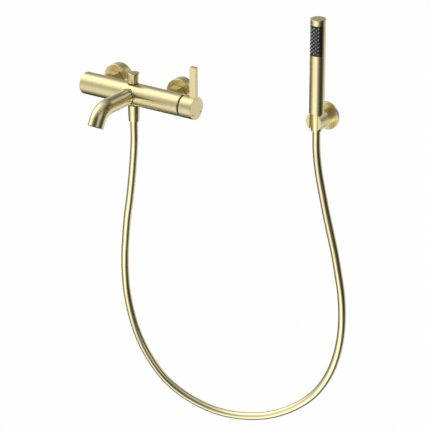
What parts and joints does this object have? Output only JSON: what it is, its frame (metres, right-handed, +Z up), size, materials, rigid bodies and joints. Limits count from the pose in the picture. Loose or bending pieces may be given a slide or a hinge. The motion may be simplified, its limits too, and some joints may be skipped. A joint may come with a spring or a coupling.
{
  "type": "bath shower mixer",
  "caption": "Wall-mounted single-lever bath and shower mixer with a down-turned spout, pull-up diverter, flexible hose, slim hand shower and wall holder.",
  "frame": {"origin": "On the wall plane, midway between the two wall threads.", "axes": "+X runs along the body towards the handle, +Y goes into the wall, +Z is up."},
  "size_m": [0.5784, 0.2338, 0.861],
  "materials": {
    "brushed_gold": "brushed gold plating",
    "raw_brass": "turned, unplated",
    "steel": "plain",
    "rubber": "smooth",
    "pale_plastic": "moulded",
    "black_plastic": "satin",
    "ceramic": "polished ceramic",
    "nozzle_silicone": "soft silicone",
    "hose_skin": "smooth metallic hose skin",
    "hot_red": "enamel dot",
    "cold_blue": "enamel dot"
  },
  "bodies": {
    "fixed": {"mixer_body": "brushed_gold", "spout": "brushed_gold", "aerator_housing": "brushed_gold", "left_rosette": "brushed_gold", "right_rosette": "brushed_gold", "left_union_nut": "brushed_gold", "right_union_nut": "brushed_gold", "outlet_nipple": "brushed_gold", "lower_hose_nut": "brushed_gold", "holder_arm": "brushed_gold", "holder_rosette": "brushed_gold", "left_eccentric_union": "raw_brass", "right_eccentric_union": "raw_brass", "left_inlet_nipple": "raw_brass", "right_inlet_nipple": "raw_brass", "retaining_nut": "raw_brass", "diverter_bonnet": "raw_brass", "lower_hose_tail": "raw_brass", "holder_stub": "raw_brass", "spout_grub_screw": "steel", "diverter_spring": "steel", "holder_grub_screw": "steel", "holder_wall_screw": "steel", "spout_seal": "rubber", "left_union_washer": "rubber", "right_union_washer": "rubber", "cartridge_seal": "rubber", "spindle_seal": "rubber", "lower_hose_washer": "rubber", "aerator_insert": "pale_plastic", "left_check_valve": "pale_plastic", "right_check_valve": "pale_plastic", "cartridge_housing": "pale_plastic", "cartridge_base": "pale_plastic", "holder_wall_plug": "pale_plastic", "fixed_disc": "ceramic", "hose": "hose_skin"},
    "rotor": {"rotor": "black_plastic", "tilt_pin": "steel"},
    "handle": {"handle_cap": "brushed_gold", "lever_blade": "brushed_gold", "lever_stem": "steel", "handle_grub_screw": "steel", "hot_dot": "hot_red", "cold_dot": "cold_blue"},
    "disc": {"disc_carrier": "pale_plastic", "moving_disc": "ceramic"},
    "diverter": {"diverter_knob": "brushed_gold", "diverter_spindle": "steel", "diverter_valve": "rubber", "spindle_nut": "raw_brass"},
    "hose_end": {"upper_hose_tail": "raw_brass"},
    "handset": {"handset_inlet": "raw_brass", "handset_tube": "brushed_gold", "handset_core": "pale_plastic", "spray_panel": "black_plastic", "nozzle_mat": "nozzle_silicone", "upper_hose_nut": "brushed_gold", "upper_hose_washer": "rubber"}
  },
  "joints": [
    {"name": "temperature", "type": "hinge", "parent": "fixed", "child": "rotor", "pos_m": [0, -0.0685, -0.008], "axis": [1, 0, 0], "range_deg": [-45, 45]},
    {"name": "flow", "type": "hinge", "parent": "rotor", "child": "handle", "pos_m": [0.1394, -0.0685, -0.008], "axis": [0, 1, 0], "range_deg": [0, 15]},
    {"name": "disc_slide", "type": "slide", "parent": "rotor", "child": "disc", "axis": [0, 0, 1], "range_m": [0, 0.0045]},
    {"name": "diverter_lift", "type": "slide", "parent": "fixed", "child": "diverter", "axis": [0, 0, 1], "range_m": [0, 0.008], "stiffness_N_per_m": 300, "springref_m": -0.005, "deforming": ["diverter_spring"]},
    {"name": "handset_lift", "type": "slide", "parent": "fixed", "child": "hose_end", "axis": [0, 0, 1], "range_m": [0, 0.04]},
    {"name": "handset_twist", "type": "hinge", "parent": "hose_end", "child": "handset", "pos_m": [0.399, -0.036, 0.1], "axis": [0, 0, 1], "continuous": true}
  ],
  "couplings": [
    {"joint": "disc_slide", "follows": "flow", "m_per_rad": 0.016807}
  ]
}
